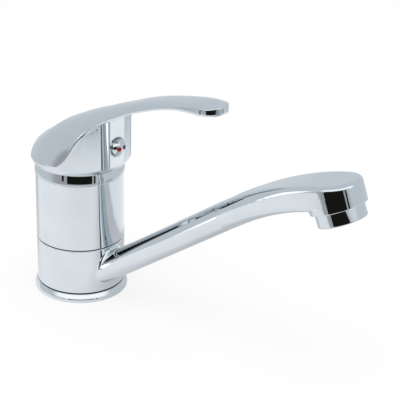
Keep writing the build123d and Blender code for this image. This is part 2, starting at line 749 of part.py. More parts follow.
def aerator_grid():
    """Outlet grid that straightens the jet."""
    radius = AERATOR_BORE_R - INSERT_FIT
    plate = Circle(radius)
    reach = radius - 0.75 * GRID_HOLE
    for column in range(-3, 4):
        for row in range(-3, 4):
            x = column * GRID_PITCH
            y = row * GRID_PITCH
            if sqrt(x**2 + y**2) < reach:
                plate -= Pos(x, y) * Rectangle(GRID_HOLE, GRID_HOLE)
    return in_head(Pos(0, 0, AERATOR_LIP_H) * extrude(plate, GRID_H))


def aerator_insert():
    """Mixing insert with a ring of jet holes."""
    radius = AERATOR_BORE_R - INSERT_FIT
    low = AERATOR_LIP_H + GRID_H
    core = drum(radius, low, low + INSERT_H)
    core -= drum(radius - INSERT_WALL, low, low + INSERT_H / 2)
    for place in PolarLocations(JET_CIRCLE_R, JET_COUNT):
        core -= place * drum(JET_R, low, low + INSERT_H)
    return in_head(core)


def aerator_screen():
    """Fine sieve on top of the insert."""
    radius = AERATOR_BORE_R - INSERT_FIT
    low = AERATOR_LIP_H + GRID_H + INSERT_H
    plate = Circle(radius)
    for count in range(1, SCREEN_RINGS + 1):
        for place in PolarLocations(count * radius / (SCREEN_RINGS + 1), 6 * count):
            plate -= place * Circle(SCREEN_HOLE_R)
    return in_head(Pos(0, 0, low) * extrude(plate, SCREEN_H))


NODES = {
    "base_ring": base_ring(),
    "base_gasket": base_gasket(),
    "valve_body": valve_body(),
    "lower_slip_ring": slip_ring(True),
    "upper_slip_ring": slip_ring(False),
    "lower_o_ring": o_ring(COLLAR_MID - O_RING_OFFSET),
    "upper_o_ring": o_ring(COLLAR_MID + O_RING_OFFSET),
    "port_seals": port_seals(),
    "cartridge_base": cartridge_base(),
    "fixed_disc": fixed_disc(),
    "moving_disc": moving_disc(),
    "disc_driver": disc_driver(),
    "cartridge_housing": cartridge_housing(),
    "rotor": rotor(),
    "pivot_pin": pivot_pin(),
    "stem": stem(),
    "cartridge_nut": cartridge_nut(),
    "cap_ring": cap_ring(),
    "lever_handle": lever_handle(),
    "set_screw": set_screw(),
    "index_cap": index_cap(),
    "hot_mark": index_mark(-1),
    "cold_mark": index_mark(1),
    "spout": spout(),
    "aerator_housing": aerator_housing(),
    "aerator_washer": aerator_washer(),
    "aerator_grid": aerator_grid(),
    "aerator_insert": aerator_insert(),
    "aerator_screen": aerator_screen(),
}

os.makedirs("parts", exist_ok=True)
for name, solid in NODES.items():
    export_step(solid, f"parts/{name}.step")
    print(name, len(solid.solids()), round(solid.volume, 1), solid.bounding_box().size)
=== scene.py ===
"""Looks of a single-lever kitchen tap: polished metal, hidden cartridge, soft white studio."""

import json
import logging
import math
from dataclasses import dataclass, field
from enum import Enum

import bmesh
import bpy
from mathutils import Matrix, Vector


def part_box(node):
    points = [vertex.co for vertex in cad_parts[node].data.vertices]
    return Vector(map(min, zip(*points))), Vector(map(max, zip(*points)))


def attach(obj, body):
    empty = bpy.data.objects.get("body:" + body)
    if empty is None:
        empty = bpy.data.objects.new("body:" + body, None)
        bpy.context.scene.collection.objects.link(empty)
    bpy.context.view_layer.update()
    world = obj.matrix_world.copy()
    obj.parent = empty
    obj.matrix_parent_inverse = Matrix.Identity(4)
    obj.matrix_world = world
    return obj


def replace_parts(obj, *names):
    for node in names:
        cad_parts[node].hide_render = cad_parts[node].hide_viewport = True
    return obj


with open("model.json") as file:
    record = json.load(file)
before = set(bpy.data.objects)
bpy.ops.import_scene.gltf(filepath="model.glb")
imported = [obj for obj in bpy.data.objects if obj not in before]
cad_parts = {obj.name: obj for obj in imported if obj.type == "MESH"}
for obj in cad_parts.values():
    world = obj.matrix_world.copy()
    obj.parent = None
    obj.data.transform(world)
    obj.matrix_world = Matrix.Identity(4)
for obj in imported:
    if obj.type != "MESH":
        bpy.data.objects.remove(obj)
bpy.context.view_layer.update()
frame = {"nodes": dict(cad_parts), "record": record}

log = logging.getLogger("tap")

Colour = tuple[float, float, float]
Profile = list[tuple[float, float]]
Node = bpy.types.Node
Socket = bpy.types.NodeSocket

# Points closer than this, in metres, are one point.
MERGE = 1e-7
# Edges that turn by more than this stay crisp.
CREASE = math.radians(28.0)
# Faces across a rounded edge, and rays that find an edge to soften.
ROUND_SEGMENTS = 4
EDGE_SAMPLES = 16
MILLIMETRE = 0.001
UP = Vector((0.0, 0.0, 1.0))


class Slot(Enum):
    """Finishes of the tap, by the names that the record gives them."""

    CHROME = "chrome"
    LEVER_CHROME = "lever_chrome"
    BRASS = "brass"
    STEEL = "steel"
    CERAMIC = "ceramic"
    RUBBER = "seal_rubber"
    SLIP_PLASTIC = "slip_plastic"
    WHITE_PLASTIC = "white_plastic"
    CARTRIDGE_PLASTIC = "cartridge_plastic"
    ROTOR_PLASTIC = "rotor_plastic"
    INDEX_PLASTIC = "index_plastic"
    RED_MARK = "red_mark"
    BLUE_MARK = "blue_mark"


class Body(Enum):
    """Moving and fixed bodies of the tap."""

    COLUMN = "body"
    TURRET = "turret"
    DISC = "disc"
    LEVER = "lever"
    SPOUT = "spout"


@dataclass
class NodeBench:
    """Places shader nodes in one tree and joins them."""

    tree: bpy.types.NodeTree

    def add(self, kind: str, **settings: object) -> Node:
        """Add a node and set its properties.

        Args:
            kind: node type, such as ShaderNodeMath.
            settings: properties of the node by name.

        Returns:
            The new node.
        """
        node = self.tree.nodes.new(kind)
        for name, value in settings.items():
            setattr(node, name, value)
        return node

    def join(self, source: Socket, target: Socket) -> None:
        """Link an output to an input."""
        self.tree.links.new(source, target)

    def maths(self, operation: str, first: Socket | float, second: Socket | float = 0.0) -> Socket:
        """Add one sum.

        Args:
            operation: name of the sum, as the Math node gives it.
            first: first number or the output it comes from.
            second: second number or the output it comes from.

        Returns:
            The output of the sum.
        """
        node = self.add("ShaderNodeMath", operation=operation)
        for place, value in enumerate((first, second)):
            if isinstance(value, (int, float)):
                node.inputs[place].default_value = value
            else:
                self.join(value, node.inputs[place])
        return node.outputs[0]

    def ramp(self, value: Socket, low: float, high: float, start: float = 0.0, end: float = 1.0) -> Socket:
        """Smooth step of a value.

        Args:
            value: what is measured.
            low: value where the step begins.
            high: value where the step ends.
            start: result before the step.
            end: result after the step.

        Returns:
            The output of the step.
        """
        node = self.add("ShaderNodeMapRange", interpolation_type="SMOOTHSTEP")
        self.join(value, node.inputs["Value"])
        node.inputs["From Min"].default_value = low
        node.inputs["From Max"].default_value = high
        node.inputs["To Min"].default_value = start
        node.inputs["To Max"].default_value = end
        return node.outputs["Result"]

    def mix(self, share: Socket, first: Colour | Socket, second: Colour | Socket) -> Socket:
        """Mix two colours.

        Args:
            share: share of the second colour.
            first: colour or output at share 0.
            second: colour or output at share 1.

        Returns:
            The mixed colour.
        """
        node = self.add("ShaderNodeMix", data_type="RGBA")
        self.join(share, node.inputs[0])
        for place, colour in ((6, first), (7, second)):
            if isinstance(colour, tuple):
                node.inputs[place].default_value = (*colour, 1.0)
            else:
                self.join(colour, node.inputs[place])
        return node.outputs[2]


def effect_group(name: str, inputs: dict[str, float], outputs: tuple[str, ...]) -> NodeBench:
    """Start a shared shader effect.

    Args:
        name: name of the node group.
        inputs: its inputs with their usual values.
        outputs: names of its outputs.

    Returns:
        A bench on the new group, whose nodes named In and Out are its ends.
    """
    tree = bpy.data.node_groups.new(name, "ShaderNodeTree")
    for title, value in inputs.items():
        socket = tree.interface.new_socket(name=title, in_out="INPUT", socket_type="NodeSocketFloat")
        socket.default_value = value
    for title in outputs:
        tree.interface.new_socket(name=title, in_out="OUTPUT", socket_type="NodeSocketFloat")
    bench = NodeBench(tree)
    bench.add("NodeGroupInput", name="In")
    bench.add("NodeGroupOutput", name="Out")
    return bench


def speckle(bench: NodeBench, scale: Socket, detail: float) -> Socket:
    """Cloudy noise on Object coordinates.

    Args:
        bench: where the nodes go.
        scale: output that gives the scale.
        detail: depth of the noise.

    Returns:
        The noise value, about 0.5 in the middle.
    """
    place = bench.add("ShaderNodeTexCoord")
    noise = bench.add("ShaderNodeTexNoise")
    bench.join(place.outputs["Object"], noise.inputs["Vector"])
    bench.join(scale, noise.inputs["Scale"])
    noise.inputs["Detail"].default_value = detail
    return noise.outputs["Fac"]


def polish_group() -> bpy.types.NodeTree:
    """Wear of a polished face: faint wiping marks, water spots and uneven gloss.

    Returns:
        A group with Gloss (roughness), Film (thin haze) and Height.
    """
    bench = effect_group(
        "polish_wear",
        {"Scale": 60.0, "Smooth": 0.03, "Rough": 0.06},
        ("Gloss", "Film", "Height"),
    )
    ends = bench.tree.nodes
    scale = ends["In"].outputs["Scale"]
    cloud = bench.ramp(speckle(bench, scale, detail=3.0), low=0.35, high=0.7)
    times_finer = 14.0
    fine = speckle(bench, bench.maths("MULTIPLY", scale, times_finer), detail=2.0)
    spread = bench.maths("SUBTRACT", ends["In"].outputs["Rough"], ends["In"].outputs["Smooth"])
    gloss = bench.maths("ADD", ends["In"].outputs["Smooth"], bench.maths("MULTIPLY", cloud, spread))
    bench.join(gloss, ends["Out"].inputs["Gloss"])
    bench.join(cloud, ends["Out"].inputs["Film"])
    bench.join(fine, ends["Out"].inputs["Height"])
    return bench.tree


def grain_group() -> bpy.types.NodeTree:
    """Grain of a moulded or fired face.

    Returns:
        A group with Tone (light and dark clouds) and Height.
    """
    bench = effect_group("moulded_grain", {"Scale": 300.0}, ("Tone", "Height"))
    ends = bench.tree.nodes
    scale = ends["In"].outputs["Scale"]
    times_coarser = 0.2
    clouds = speckle(bench, bench.maths("MULTIPLY", scale, times_coarser), detail=4.0)
    tone = bench.ramp(clouds, low=0.3, high=0.7)
    bench.join(tone, ends["Out"].inputs["Tone"])
    bench.join(speckle(bench, scale, detail=6.0), ends["Out"].inputs["Height"])
    return bench.tree


def new_material(name: str) -> tuple[NodeBench, Node]:
    """Start a material with one Principled shader.

    Args:
        name: name of the material.

    Returns:
        A bench on its tree, and the shader.
    """
    material = bpy.data.materials.new(name)
    material.use_nodes = True
    bench = NodeBench(material.node_tree)
    return bench, material.node_tree.nodes["Principled BSDF"]


def place_effect(bench: NodeBench, tree: bpy.types.NodeTree, **values: float) -> Node:
    """Put a shared effect in a material.

    Args:
        bench: bench of the material.
        tree: the effect.
        values: its inputs by name.

    Returns:
        The group node.
    """
    node = bench.add("ShaderNodeGroup", node_tree=tree)
    for name, value in values.items():
        node.inputs[name].default_value = value
    return node


def raise_surface(
    bench: NodeBench, height: Socket, shader: Node, strength: float, depth: float, edge: float = 0.0
) -> None:
    """Feed a height into the shader as a bump, over softened edges.

    Args:
        bench: bench of the material.
        height: height of the relief, 0 to 1.
        shader: Principled shader.
        strength: share of the bump.
        depth: relief in metres.
        edge: radius that the buffing gives to edges, in metres.
    """
    bump = bench.add("ShaderNodeBump")
    if edge:
        soft = bench.add("ShaderNodeBevel", samples=EDGE_SAMPLES)
        soft.inputs["Radius"].default_value = edge
        bench.join(soft.outputs["Normal"], bump.inputs["Normal"])
    bump.inputs["Strength"].default_value = strength
    bump.inputs["Distance"].default_value = depth
    bench.join(height, bump.inputs["Height"])
    bench.join(bump.outputs["Normal"], shader.inputs["Normal"])


@dataclass(frozen=True)
class MetalFinish:
    """Bare or plated metal with wiping marks.

    Attributes:
        slot: finish in the record.
        clean: colour of the clean metal.
        hazed: colour under a thin film of water marks.
        smooth: roughness of the best polish.
        rough: roughness of the dull spots.
        scale: scale of the clouds.
        relief: depth of the finest relief in metres.
        edge: radius of the buffed edges in metres.
        bump: strength of the relief.
    """

    slot: Slot
    clean: Colour
    hazed: Colour
    smooth: float
    rough: float
    scale: float = 60.0
    relief: float = 2e-7
    edge: float = 0.0
    bump: float = 0.2

    def material(self, polish: bpy.types.NodeTree) -> bpy.types.Material:
        """Build the material.

        Args:
            polish: shared wear effect.

        Returns:
            The finished material.
        """
        name = f"tap_{self.slot.value}"
        bench, shader = new_material(name)
        shader.inputs["Metallic"].default_value = 1.0
        wear = place_effect(bench, polish, Scale=self.scale, Smooth=self.smooth, Rough=self.rough)
        bench.join(bench.mix(wear.outputs["Film"], self.clean, self.hazed), shader.inputs["Base Color"])
        bench.join(wear.outputs["Gloss"], shader.inputs["Roughness"])
        raise_surface(bench, wear.outputs["Height"], shader, self.bump, self.relief, self.edge)
        return bpy.data.materials[name]


@dataclass(frozen=True)
class MouldedFinish:
    """Plastic, rubber, ceramic or enamel with a fine grain.

    Attributes:
        slot: finish in the record.
        light: lighter tone.
        dark: darker tone.
        roughness: roughness of the face.
        scale: scale of the grain.
        relief: depth of the grain in metres.
        shine: level of the mirrored light.
        bump: strength of the relief.
    """

    slot: Slot
    light: Colour
    dark: Colour
    roughness: float
    scale: float = 400.0
    relief: float = 2e-5
    shine: float = 0.5
    bump: float = 0.3

    def material(self, grain: bpy.types.NodeTree) -> bpy.types.Material:
        """Build the material.

        Args:
            grain: shared grain effect.

        Returns:
            The finished material.
        """
        name = f"tap_{self.slot.value}"
        bench, shader = new_material(name)
        shader.inputs["Roughness"].default_value = self.roughness
        shader.inputs["Specular IOR Level"].default_value = self.shine
        face = place_effect(bench, grain, Scale=self.scale)
        bench.join(bench.mix(face.outputs["Tone"], self.dark, self.light), shader.inputs["Base Color"])
        raise_surface(bench, face.outputs["Height"], shader, self.bump, self.relief)
        return bpy.data.materials[name]


METALS = (
    MetalFinish(Slot.CHROME, (0.655, 0.695, 0.715), (0.63, 0.67, 0.69), 0.015, 0.05, edge=0.0005),
    MetalFinish(Slot.LEVER_CHROME, (0.65, 0.69, 0.715), (0.625, 0.665, 0.69), 0.02, 0.06, edge=0.0014),
    MetalFinish(Slot.BRASS, (0.80, 0.58, 0.27), (0.66, 0.46, 0.22), 0.18, 0.34, 90.0, 4e-6),
    MetalFinish(Slot.STEEL, (0.60, 0.60, 0.61), (0.52, 0.52, 0.53), 0.16, 0.30, 120.0, 3e-6),
)
MOULDED = (
    MouldedFinish(Slot.CERAMIC, (0.86, 0.85, 0.81), (0.80, 0.79, 0.75), 0.22, 500.0, 4e-6),
    MouldedFinish(Slot.RUBBER, (0.035, 0.035, 0.037), (0.02, 0.02, 0.021), 0.62, 700.0, 3e-5),
    MouldedFinish(Slot.SLIP_PLASTIC, (0.05, 0.05, 0.055), (0.03, 0.03, 0.034), 0.45),
    MouldedFinish(Slot.WHITE_PLASTIC, (0.82, 0.82, 0.80), (0.76, 0.76, 0.74), 0.38),
    MouldedFinish(Slot.CARTRIDGE_PLASTIC, (0.70, 0.71, 0.72), (0.62, 0.63, 0.65), 0.42),
    MouldedFinish(Slot.ROTOR_PLASTIC, (0.10, 0.17, 0.36), (0.07, 0.13, 0.29), 0.40),
    MouldedFinish(Slot.RED_MARK, (0.25, 0.006, 0.010), (0.19, 0.005, 0.008), 0.25, 900.0, 5e-6, 0.15),
    MouldedFinish(Slot.BLUE_MARK, (0.010, 0.022, 0.12), (0.008, 0.017, 0.09), 0.25, 900.0, 5e-6, 0.15),
)
INDEX_CHROME = MetalFinish(Slot.INDEX_PLASTIC, (0.66, 0.69, 0.70), (0.62, 0.65, 0.66), 0.03, 0.08, 90.0)


class Wardrobe:
    """Every finish of the tap, built once and kept by slot."""

    def __init__(self) -> None:
        """Build the shared effects and the finishes."""
        polish = polish_group()
        grain = grain_group()
        self.finishes: dict[str, bpy.types.Material] = {}
        for metal in (*METALS, INDEX_CHROME):
            self.finishes[metal.slot.value] = metal.material(polish)
        for moulded in MOULDED:
            self.finishes[moulded.slot.value] = moulded.material(grain)

    def dress(self, piece: bpy.types.Object, slot: Slot) -> None:
        """Give a new piece its only finish."""
        piece.data.materials.clear()
        piece.data.materials.append(self.finishes[slot.value])

    def dress_node(self, name: str) -> None:
        """Give a carried-over node the finish that its slots name.

        Args:
            name: name of the node.
        """
        node = frame["nodes"][name]
        for slot in node.material_slots:
            title = slot.material.name.split(".")[0]
            slot.link = "OBJECT"
            slot.material = self.finishes[title]
        log.info("dressed %s", name)


@dataclass(frozen=True)
class Lathe:
    """Axis that a turned piece is spun about.

    Attributes:
        foot: point of the axis at height 0.
        along: direction of the axis.
        steps: faces round the axis.
    """

    foot: Vector
    along: Vector
    steps: int = 128

    def spin(self, profile: Profile, rounds: dict[int, float]) -> bmesh.types.BMesh:
        """Turn a profile into a closed solid and round some of its corners.

        Args:
            profile: (radius, height) corners, as a loop or from axis to axis.
            rounds: width of the rounding by corner number.

        Returns:
            The finished shape.
        """
        shape = bmesh.new()
        corners = [shape.verts.new((radius, 0.0, height)) for radius, height in profile]
        pairs = list(zip(corners, corners[1:]))
        if profile[0][0] > 0.0:
            pairs.append((corners[-1], corners[0]))
        for pair in pairs:
            shape.edges.new(pair)
        line = shape.verts[:] + shape.edges[:]
        bmesh.ops.spin(
            shape, geom=line, cent=Vector(), axis=UP, angle=math.tau, steps=self.steps, use_merge=True
        )
        bmesh.ops.remove_doubles(shape, verts=shape.verts[:], dist=MERGE)
        bmesh.ops.recalc_face_normals(shape, faces=shape.faces[:])
        for corner, width in rounds.items():
            edges = [edge for edge in shape.edges if lies_on(edge, *profile[corner])]
            bmesh.ops.bevel(
                shape,
                geom=edges,
                affect="EDGES",
                offset=width,
                segments=ROUND_SEGMENTS,
                profile=0.5,
                material=-1,
            )
        turn = self.along.to_track_quat("Z", "Y").to_matrix().to_4x4()
        bmesh.ops.transform(shape, matrix=Matrix.Translation(self.foot) @ turn, verts=shape.verts[:])
        return shape


def lies_on(edge: bmesh.types.BMEdge, radius: float, height: float) -> bool:
    """True if both ends of an edge lie on one circle about Z.

    Args:
        edge: the edge.
        radius: radius of the circle.
        height: height of the circle.

    Returns:
        Whether the edge is part of the circle.
    """
    slack = 10 * MERGE
    for vertex in edge.verts:
        spread = math.hypot(vertex.co.x, vertex.co.y) - radius
        if abs(spread) > slack or abs(vertex.co.z - height) > slack:
            return False
    return True


def thread_coil(foot: Vector, radius: float, length: float, pitch: float) -> bmesh.types.BMesh:
    """Wind the ridge of an inner thread up from the mouth of a hole.

    Args:
        foot: middle of the mouth.
        radius: wall of the hole.
        length: depth of the thread.
        pitch: rise of one turn.

    Returns:
        The finished shape.
    """
    round_steps = 40
    first_rise = 0.7 * pitch
    plain_turns = 1.5
    turns = length / pitch - plain_turns
    shape = bmesh.new()
    bmesh.ops.create_circle(shape, segments=3, radius=0.5 * pitch)
    quarter = math.radians(90.0)
    upright = Matrix.Rotation(quarter, 4, "X") @ Matrix.Rotation(quarter, 4, "Z")
    place = Matrix.Translation(foot + Vector((radius, 0.0, first_rise)))
    bmesh.ops.transform(shape, matrix=place @ upright, verts=shape.verts[:])
    bmesh.ops.spin(
        shape,
        geom=shape.verts[:] + shape.edges[:],
        cent=foot,
        axis=UP,
        dvec=UP * pitch / round_steps,
        angle=math.tau * turns,
        steps=round(round_steps * turns),
    )
    ends = [edge for edge in shape.edges if edge.is_boundary]
    bmesh.ops.holes_fill(shape, edges=ends, sides=3)
    bmesh.ops.recalc_face_normals(shape, faces=shape.faces[:])
    return shape


@dataclass
class SubAssembly:
    """Pieces of the tap that are made and dressed together.

    Attributes:
        wardrobe: finishes of the tap.
        nodes: carried-over nodes of the sub-assembly.
    """

    wardrobe: Wardrobe
    nodes: tuple[str, ...] = ()

    def build(self) -> None:
        """Make the pieces that the frame lacks, if any."""

    def dress(self) -> None:
        """Give each carried-over node its finish."""
        for name in self.nodes:
            self.wardrobe.dress_node(name)

    def add(self, name: str, shape: bmesh.types.BMesh, body: Body, slot: Slot) -> bpy.types.Object:
        """Make a piece of a finished shape, set it on its body and dress it.

        Args:
            name: name of the piece.
            shape: its shape, which is freed.
            body: body that carries it.
            slot: its finish.

        Returns:
            The new object.
        """
        mesh = bpy.data.meshes.new(name)
        shape.to_mesh(mesh)
        shape.free()
        mesh.shade_smooth()
        mesh.set_sharp_from_angle(angle=CREASE)
        piece = bpy.data.objects.new(name, mesh)
        bpy.context.scene.collection.objects.link(piece)
        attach(piece, body.value)
        self.wardrobe.dress(piece, slot)
        log.info("made %s, %d faces", name, len(mesh.polygons))
        return piece


@dataclass
class Foot(SubAssembly):
    """Foot of the tap: turned ring, gasket and lower bearing.

    Attributes:
        bore_r: hole of the ring round the core.
        top_r: radius where the sloped shoulder begins.
        bead_r: radius where the shoulder ends.
        bead_z: height of that line.
        rim_z: height of the upright rim.
        fit: room round the gasket.
        edge: rounding of the edges.
    """

    nodes: tuple[str, ...] = ("base_ring", "base_gasket", "lower_slip_ring")
    bore_r: float = 0.01755
    top_r: float = 0.0243
    bead_r: float = 0.0254
    bead_z: float = 0.0022
    rim_z: float = 0.0017
    fit: float = 0.00005
    edge: float = 0.0002

    def build(self) -> None:
        """Turn the ring with its sloped shoulder, upright rim and gasket groove."""
        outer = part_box("base_ring")[1]
        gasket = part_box("base_gasket")[1]
        rubber = frame["nodes"]["base_gasket"].data.vertices
        hole_r = min(math.hypot(point.co.x, point.co.y) for point in rubber)
        profile = [
            (self.bore_r, 0.0),
            (hole_r - self.fit, 0.0),
            (hole_r - self.fit, gasket.z + self.fit),
            (gasket.x + self.fit, gasket.z + self.fit),
            (gasket.x + self.fit, 0.0),
            (outer.x, 0.0),
            (outer.x, self.rim_z),
            (self.bead_r, self.bead_z),
            (self.top_r, outer.z),
            (self.bore_r, outer.z),
        ]
        rounds = dict.fromkeys((5, 6, 7, 8), self.edge)
        shape = Lathe(Vector(), UP).spin(profile, rounds)
        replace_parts(self.add("foot_ring", shape, Body.COLUMN, Slot.CHROME), "base_ring")


@dataclass
class Column(SubAssembly):
    """Upper body with its bearing, seals and cap ring, and the threads under it.

    Attributes:
        pitches: rise of one turn of each thread, by mount.
    """

    nodes: tuple[str, ...] = ("valve_body", "upper_slip_ring", "lower_o_ring", "upper_o_ring", "cap_ring")
    pitches: dict[str, float] = field(
        default_factory=lambda: {"hot_inlet": 0.001, "cold_inlet": 0.001, "stud_hole": 0.00125}
    )

    def build(self) -> None:
        """Wind the thread of each hole under the body."""
        for mount in frame["record"]["mounts"]:
            pitch = self.pitches.get(mount["name"])
            if pitch:
                sizes = mount["dims"]
                foot = Vector(mount["pos_m"])
                radius, depth = sizes["r_mm"] * MILLIMETRE, sizes["length_mm"] * MILLIMETRE
                shape = thread_coil(foot, radius, depth, pitch)
                self.add(f"{mount['name']}_thread", shape, Body.COLUMN, Slot.BRASS)


@dataclass
class Cartridge(SubAssembly):
    """Ceramic cartridge inside the body, with its seals, nut and pin."""

    nodes: tuple[str, ...] = (
        "port_seals",
        "cartridge_base",
        "fixed_disc",
        "moving_disc",
        "disc_driver",
        "cartridge_housing",
        "rotor",
        "pivot_pin",
        "cartridge_nut",
    )


@dataclass
class Lever(SubAssembly):
    """Cast lever, its stem and grub screw, and the index on its front panel.

    Attributes:
        button_r: radius of the index button.
        button_side: how far its side stands proud of the panel.
        button_top: how far its middle stands proud.
        cap_top: how far the plain cap of the frame stands proud.
        button_edge: rounding between its side and its face.
        face_steps: slices of its domed face.
        round_steps: faces round it.
    """

    nodes: tuple[str, ...] = ("lever_handle", "stem", "set_screw", "index_cap", "hot_mark", "cold_mark")
    button_r: float = 0.0046
    button_side: float = 0.0015
    button_top: float = 0.0036
    cap_top: float = 0.004
    button_edge: float = 0.0004
    face_steps: int = 10
    round_steps: int = 64

    def build(self) -> None:
        """Turn the domed index button, which stands in its seat in the panel."""
        low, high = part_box("index_cap")
        seat = Vector((high.x - self.cap_top, (low.y + high.y) / 2, (low.z + high.z) / 2))
        bulge = self.button_top - self.button_side
        ball_r = (self.button_r**2 + bulge**2) / (2 * bulge)
        spread = math.asin(self.button_r / ball_r)
        profile = [(0.0, low.x - seat.x), (self.button_r, low.x - seat.x)]
        for step in range(self.face_steps, 0, -1):
            turn = spread * step / self.face_steps
            profile.append((ball_r * math.sin(turn), self.button_top - ball_r * (1 - math.cos(turn))))
        profile.append((0.0, self.button_top))
        outward = Vector((1.0, 0.0, 0.0))
        shape = Lathe(seat, outward, self.round_steps).spin(profile, {2: self.button_edge})
        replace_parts(self.add("index_button", shape, Body.LEVER, Slot.INDEX_PLASTIC), "index_cap")


@dataclass
class Spout(SubAssembly):
    """Swivelling collar and spout, one casting."""

    nodes: tuple[str, ...] = ("spout",)


@dataclass
class Aerator(SubAssembly):
    """Ring, washer, grid, insert and screen in the mouth of the spout."""

    nodes: tuple[str, ...] = (
        "aerator_housing",
        "aerator_washer",
        "aerator_grid",
        "aerator_insert",
        "aerator_screen",
    )


@dataclass(frozen=True)
class RoomBand:
    """One part of the room that the metal mirrors, by its height and side in degrees.

    Attributes:
        colour: what it gives off.
        low: its lower edge above the horizon.
        high: its upper edge above the horizon.
        low_soft: half width of the lower edge.
        high_soft: half width of the upper edge.
        left: its first side, or None where it goes all the way round.
        right: its other side.
        side_soft: half width of its sides.
    """

    colour: Colour
    low: float
    high: float
    low_soft: float
    high_soft: float
    left: float | None = None
    right: float = 0.0
    side_soft: float = 1.0


@dataclass(frozen=True)
class Screen:
    """Upright screen or light card beside the table that only metal mirrors, by its sides in degrees.

    Attributes:
        left: its first side.
        right: its other side.
        reach: distance from the tap.
        low: height of its lower edge.
        high: height of its upper edge.
        colour: what it gives off.
        shown_to: nodes that mirror a light card, or none for a dark screen that all of them mirror.
        steps: faces along its bend.
    """

    left: float
    right: float
    reach: float = 0.6
    low: float = -0.124
    high: float = 0.178
    colour: Colour = (0.012, 0.011, 0.010)
    shown_to: tuple[str, ...] = ()
    steps: int = 24

    def build(self, name: str) -> None:
        """Bend the screen round the tap.

        Args:
            name: name of the object.
        """
        shape = bmesh.new()
        ends = [shape.verts.new((self.reach, 0.0, height)) for height in (self.low, self.high)]
        line = [*ends, shape.edges.new(ends)]
        turn = Matrix.Rotation(math.radians(self.left), 3, "Z")
        bmesh.ops.rotate(shape, cent=Vector(), matrix=turn, verts=ends)
        sweep = math.radians(self.right - self.left)
        bmesh.ops.spin(shape, geom=line, cent=Vector(), axis=UP, angle=sweep, steps=self.steps)
        mesh = bpy.data.meshes.new(name)
        shape.to_mesh(mesh)
        shape.free()
        screen = bpy.data.objects.new(name, mesh)
        bpy.context.scene.collection.objects.link(screen)
        material = bpy.data.materials.new(name)
        material.use_nodes = True
        bench = NodeBench(material.node_tree)
        glow = bench.add("ShaderNodeEmission")
        glow.inputs["Color"].default_value = (*self.colour, 1.0)
        face = glow
        if self.shown_to:
            clear = bench.add("ShaderNodeBsdfTransparent")
            face = bench.add("ShaderNodeAddShader")
            bench.join(glow.outputs[0], face.inputs[0])
            bench.join(clear.outputs[0], face.inputs[1])
            lit = bpy.data.collections.new(name)
            for node in self.shown_to:
                lit.objects.link(frame["nodes"][node])
            screen.light_linking.receiver_collection = lit
        bench.join(face.outputs[0], material.node_tree.nodes["Material Output"].inputs["Surface"])
        mesh.materials.append(material)
        screen.visible_camera = False
        screen.visible_diffuse = False
        screen.visible_shadow = False
        screen.visible_transmission = False


ROOM = (
    # White ground below the horizon
    RoomBand((1.0, 1.02, 1.05), -95.0, -22.0, 1.0, 1.2),
    # Shaded ground and wall behind the tap
    RoomBand((0.55, 0.59, 0.63), -60.0, -16.0, 6.0, 6.0, 104.0, 164.0, 10.0),
    # Grey wall on the near side
    RoomBand((0.45, 0.46, 0.48), -21.0, 12.0, 1.2, 3.0, -118.0, -6.0, 14.0),
    # Slim dark upright in that wall
    RoomBand((0.012, 0.011, 0.010), -14.0, 10.0, 1.0, 2.0, -92.0, -86.5, 0.8),
    # Dark, bright and grey lines that the corner of the lever's front mirrors
    RoomBand((0.10, 0.10, 0.11), -25.0, -18.0, 1.0, 1.0, 0.0, 2.4, 0.7),
    RoomBand((1.9, 1.9, 1.9), -25.0, -18.0, 1.0, 1.0, 13.5, 17.5, 0.8),
    RoomBand((0.48, 0.50, 0.53), -25.0, -18.0, 1.0, 1.0, 19.0, 43.0, 1.5),
    # Light that the lever's front panel mirrors
    RoomBand((1.14, 1.17, 1.17), -24.5, -19.8, 0.8, 0.8, 46.0, 50.0, 1.0),
    # Broad soft light above the near side
    RoomBand((1.4, 1.4, 1.4), 15.0, 46.0, 7.0, 9.0, -115.0, 22.0, 12.0),
)
SCREENS = (
    # Dark screens for the cap ring and the spout's head
    Screen(-78.0, -17.0),
    Screen(-13.0, -8.7),
    # Light card for the shoulder of the spout
    Screen(-133.0, -116.0, high=0.16, colour=(0.85, 0.85, 0.85), shown_to=("spout",)),
)


